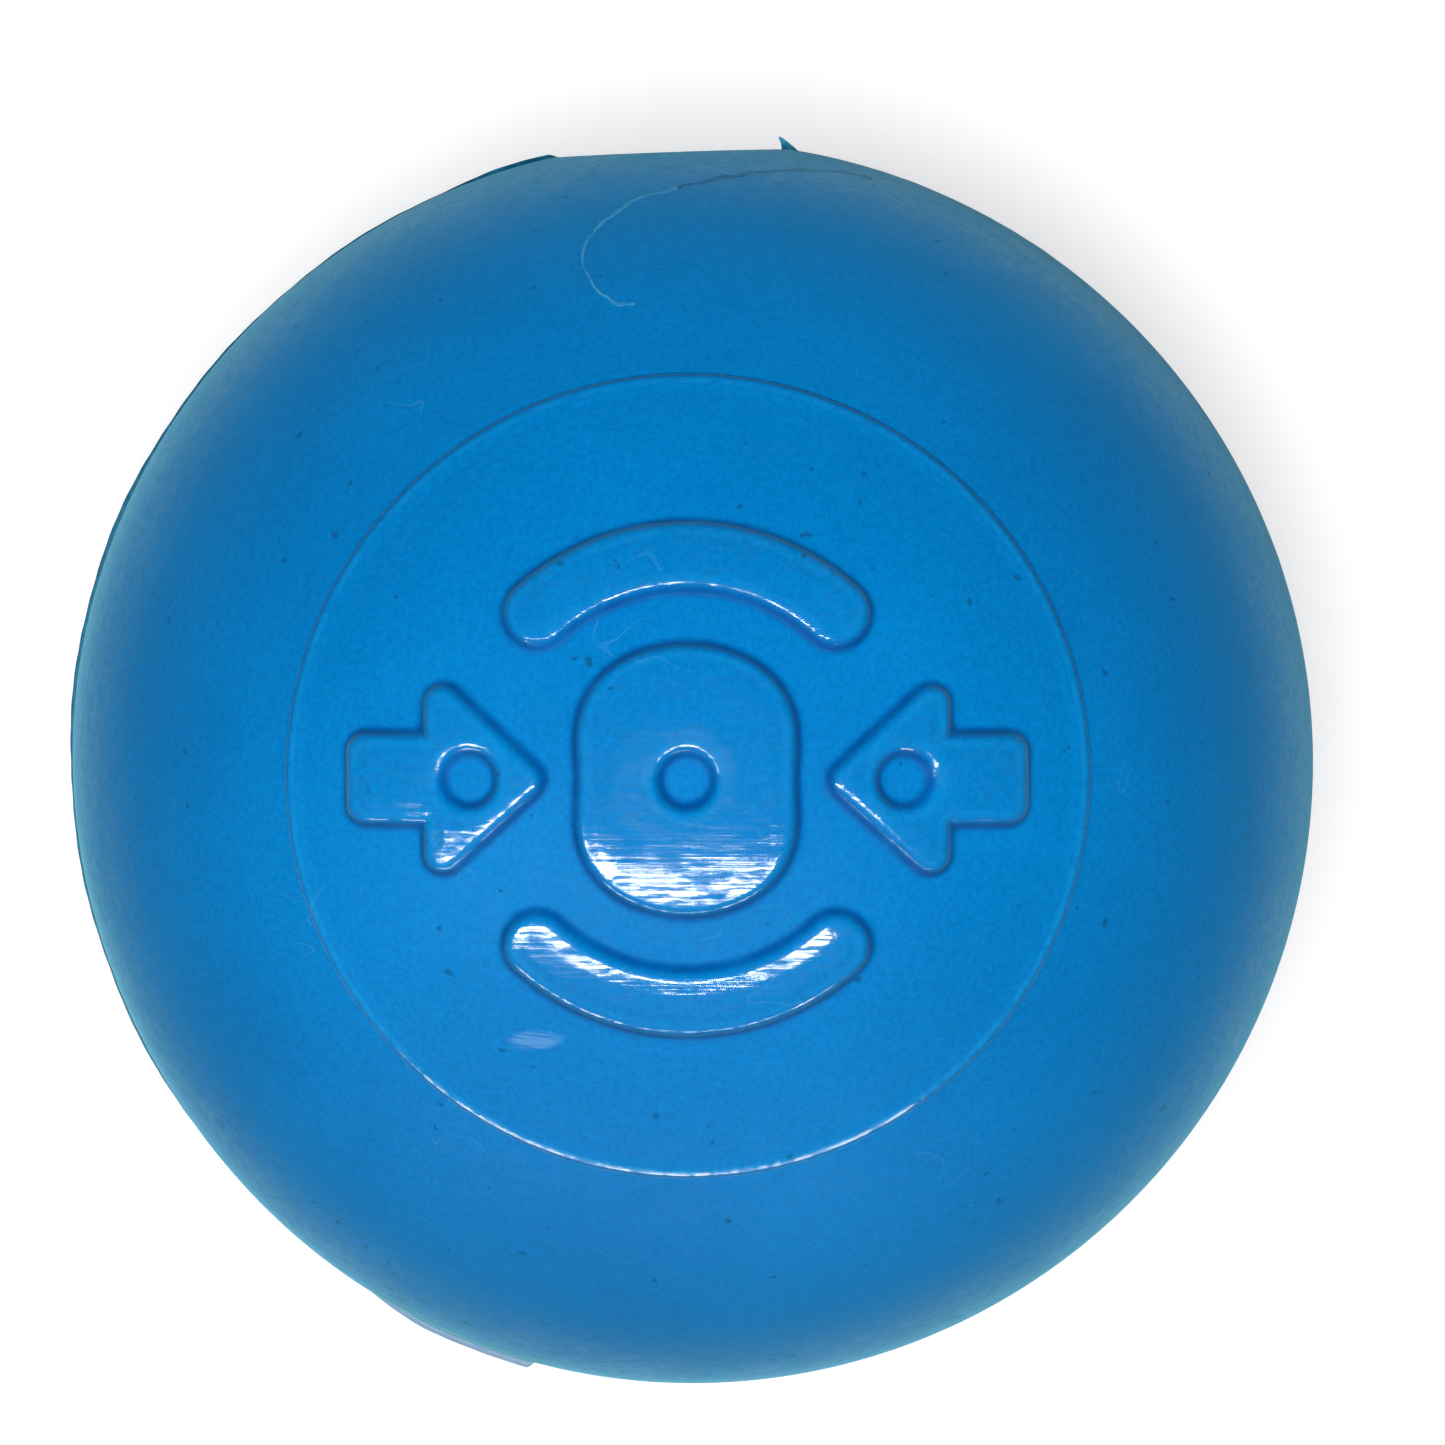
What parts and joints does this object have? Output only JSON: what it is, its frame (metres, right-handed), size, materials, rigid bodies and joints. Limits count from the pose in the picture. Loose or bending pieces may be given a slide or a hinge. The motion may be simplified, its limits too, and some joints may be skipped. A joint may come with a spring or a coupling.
{
  "type": "stress ball",
  "caption": "Round rubber squeeze ball with a bonded seam, a raised medallion, a trimmed filling plug and a foam core; it flattens under a hand and springs back.",
  "frame": {"origin": "centre of the ball, where a hand holds it", "axes": "+Z through the middle of the medallion, +Y through the filling plug; the seam lies in the plane z = 0"},
  "size_m": [0.0638, 0.063, 0.0644],
  "materials": {
    "upper_skin": "glossy moulded",
    "lower_skin": "glossy moulded",
    "rubber_cement": "satin",
    "plug_rubber": "knife-trimmed matt",
    "core_foam": "open-cell foam"
  },
  "bodies": {
    "lower_half": {"lower_half_shell": "lower_skin", "seam_bond": "rubber_cement", "fill_plug": "plug_rubber", "foam_core": "core_foam"},
    "upper_half": {"upper_half_shell": "upper_skin"}
  },
  "joints": [
    {"name": "squeeze", "type": "slide", "parent": "lower_half", "child": "upper_half", "axis": [0, 0, -1], "range_m": [0, 0.0127], "stiffness_N_per_m": 3000, "deforming": ["upper_half_shell", "lower_half_shell", "seam_bond", "fill_plug", "foam_core"]}
  ]
}
